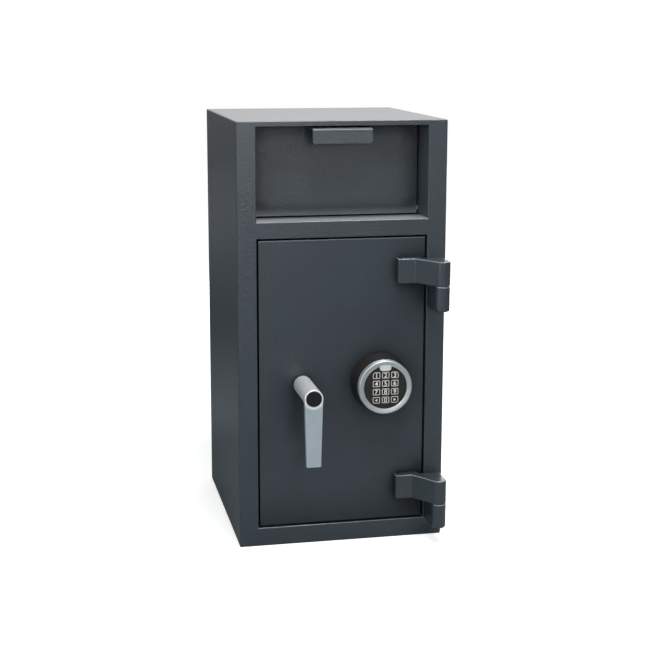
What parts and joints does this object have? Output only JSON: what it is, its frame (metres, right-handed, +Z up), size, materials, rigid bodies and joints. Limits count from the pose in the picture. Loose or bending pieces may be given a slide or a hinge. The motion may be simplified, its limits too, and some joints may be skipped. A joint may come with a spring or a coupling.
{
  "type": "deposit safe",
  "caption": "Floor-standing deposit safe: pull-down drop hopper in the top, hinged door below with turning lever boltwork and a round electronic keypad.",
  "frame": {"origin": "Middle of the flat underside of the cabinet; the front frame is at -Y.", "axes": "+Z up, +X to the right seen from the front, +Y to the back."},
  "size_m": [0.33, 0.4515, 0.672],
  "materials": {
    "body_paint": "dark blue-grey fine-texture powder coat, semi-gloss",
    "bright_zinc": "bright zinc-plated steel",
    "lever_silver": "satin silver",
    "ring_chrome": "satin chrome",
    "black_plastic": "fine matt black",
    "key_rubber": "soft matt black",
    "lamp_lens": "translucent white",
    "lock_casting": "plain die casting",
    "latch_brass": "machined",
    "buffer_rubber": "matt black",
    "cable_black": "matt black"
  },
  "bodies": {
    "cabinet": {"outer_wrap": "body_paint", "front_frame": "body_paint", "back_plate": "body_paint", "base_doubler": "body_paint", "hopper_liner": "body_paint", "hopper_pivot_pins": "bright_zinc", "hopper_stop_strip": "body_paint", "hopper_buffers": "buffer_rubber", "anti_fish_guard": "body_paint", "upper_frame_knuckle": "body_paint", "lower_frame_knuckle": "body_paint", "hinge_pins": "bright_zinc", "hinge_washers": "bright_zinc"},
    "hopper": {"hopper_panel": "body_paint", "hopper_cheek_left": "body_paint", "hopper_cheek_right": "body_paint", "hopper_floor": "body_paint", "hopper_pull": "body_paint"},
    "door": {"door_plate": "body_paint", "door_pan": "body_paint", "boltwork_cover": "body_paint", "cover_screws": "bright_zinc", "dog_bar": "bright_zinc", "upper_hinge_arm": "body_paint", "lower_hinge_arm": "body_paint", "handle_washer": "black_plastic", "lock_body": "lock_casting", "lock_screws": "bright_zinc", "guide_posts": "bright_zinc", "keypad_housing": "black_plastic", "keypad_bezel": "ring_chrome", "keypad_face": "black_plastic", "keypad_lamp_lens": "lamp_lens", "keypad_cable": "cable_black"},
    "handle": {"handle_lever": "lever_silver", "handle_cap": "black_plastic", "handle_spindle": "bright_zinc", "drive_crank": "bright_zinc", "crank_pin": "bright_zinc"},
    "bolt_carriage": {"carriage_plate": "bright_zinc", "carriage_bar": "bright_zinc", "locking_bolts": "bright_zinc"},
    "latch": {"lock_bolt": "latch_brass"},
    "key_1": {"key_1": "key_rubber"},
    "key_2": {"key_2": "key_rubber"},
    "key_3": {"key_3": "key_rubber"},
    "key_4": {"key_4": "key_rubber"},
    "key_5": {"key_5": "key_rubber"},
    "key_6": {"key_6": "key_rubber"},
    "key_7": {"key_7": "key_rubber"},
    "key_8": {"key_8": "key_rubber"},
    "key_9": {"key_9": "key_rubber"},
    "key_left": {"key_left": "key_rubber"},
    "key_0": {"key_0": "key_rubber"},
    "key_right": {"key_right": "key_rubber"}
  },
  "joints": [
    {"name": "hopper_tilt", "type": "hinge", "parent": "cabinet", "child": "hopper", "pos_m": [0, -0.112, 0.528], "axis": [1, 0, 0], "range_deg": [0, 50]},
    {"name": "door_swing", "type": "hinge", "parent": "cabinet", "child": "door", "pos_m": [0.1475, -0.225, 0.26], "axis": [0, 0, 1], "range_deg": [0, 120]},
    {"name": "handle_turn", "type": "hinge", "parent": "door", "child": "handle", "pos_m": [-0.064, -0.2, 0.262], "axis": [0, 1, 0], "range_deg": [0, 90]},
    {"name": "bolt_slide", "type": "slide", "parent": "door", "child": "bolt_carriage", "axis": [-1, 0, 0], "range_m": [0, 0.0241]},
    {"name": "latch_slide", "type": "slide", "parent": "door", "child": "latch", "axis": [-1, 0, 0], "range_m": [0, 0.0096]},
    {"name": "key_1_press", "type": "slide", "parent": "door", "child": "key_1", "axis": [0, 1, 0], "range_m": [0, 0.001], "stiffness_N_per_m": 400, "springref_m": -0.001},
    {"name": "key_2_press", "type": "slide", "parent": "door", "child": "key_2", "axis": [0, 1, 0], "range_m": [0, 0.001], "stiffness_N_per_m": 400, "springref_m": -0.001},
    {"name": "key_3_press", "type": "slide", "parent": "door", "child": "key_3", "axis": [0, 1, 0], "range_m": [0, 0.001], "stiffness_N_per_m": 400, "springref_m": -0.001},
    {"name": "key_4_press", "type": "slide", "parent": "door", "child": "key_4", "axis": [0, 1, 0], "range_m": [0, 0.001], "stiffness_N_per_m": 400, "springref_m": -0.001},
    {"name": "key_5_press", "type": "slide", "parent": "door", "child": "key_5", "axis": [0, 1, 0], "range_m": [0, 0.001], "stiffness_N_per_m": 400, "springref_m": -0.001},
    {"name": "key_6_press", "type": "slide", "parent": "door", "child": "key_6", "axis": [0, 1, 0], "range_m": [0, 0.001], "stiffness_N_per_m": 400, "springref_m": -0.001},
    {"name": "key_7_press", "type": "slide", "parent": "door", "child": "key_7", "axis": [0, 1, 0], "range_m": [0, 0.001], "stiffness_N_per_m": 400, "springref_m": -0.001},
    {"name": "key_8_press", "type": "slide", "parent": "door", "child": "key_8", "axis": [0, 1, 0], "range_m": [0, 0.001], "stiffness_N_per_m": 400, "springref_m": -0.001},
    {"name": "key_9_press", "type": "slide", "parent": "door", "child": "key_9", "axis": [0, 1, 0], "range_m": [0, 0.001], "stiffness_N_per_m": 400, "springref_m": -0.001},
    {"name": "key_left_press", "type": "slide", "parent": "door", "child": "key_left", "axis": [0, 1, 0], "range_m": [0, 0.001], "stiffness_N_per_m": 400, "springref_m": -0.001},
    {"name": "key_0_press", "type": "slide", "parent": "door", "child": "key_0", "axis": [0, 1, 0], "range_m": [0, 0.001], "stiffness_N_per_m": 400, "springref_m": -0.001},
    {"name": "key_right_press", "type": "slide", "parent": "door", "child": "key_right", "axis": [0, 1, 0], "range_m": [0, 0.001], "stiffness_N_per_m": 400, "springref_m": -0.001}
  ],
  "couplings": [
    {"joint": "bolt_slide", "follows": "handle_turn", "m_per_rad": 0.015305},
    {"joint": "latch_slide", "follows": "handle_turn", "m_per_rad": 0.0060479}
  ]
}
